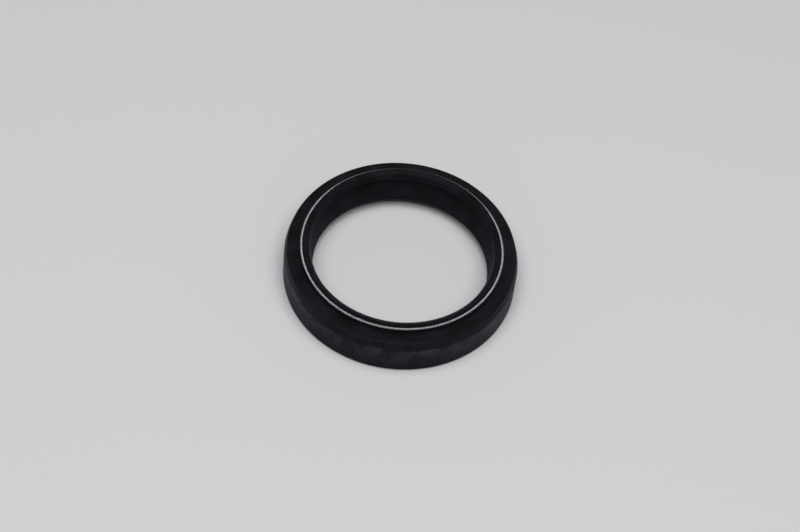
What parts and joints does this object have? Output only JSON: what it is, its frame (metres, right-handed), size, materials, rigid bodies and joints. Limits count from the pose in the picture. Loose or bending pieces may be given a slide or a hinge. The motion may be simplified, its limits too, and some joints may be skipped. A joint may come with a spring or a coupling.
{
  "type": "fork seal",
  "caption": "Moulded rubber fork seal ring, with a sprung oil lip in a channel below and a sprung dust lip standing proud above.",
  "frame": {"origin": "on the axis, in the plane of the underside that the seal rests on", "axes": "+Z along the axis from the oil side to the dust side"},
  "size_m": [0.0572, 0.0572, 0.0125],
  "materials": {
    "rubber": "matt moulded nitrile rubber, a little smoother on the tapered band and lips",
    "spring_steel": "bright drawn spring wire"
  },
  "bodies": {
    "root": {"seal_body": "rubber", "dust_lip_spring": "spring_steel", "oil_lip_spring": "spring_steel"}
  },
  "joints": []
}
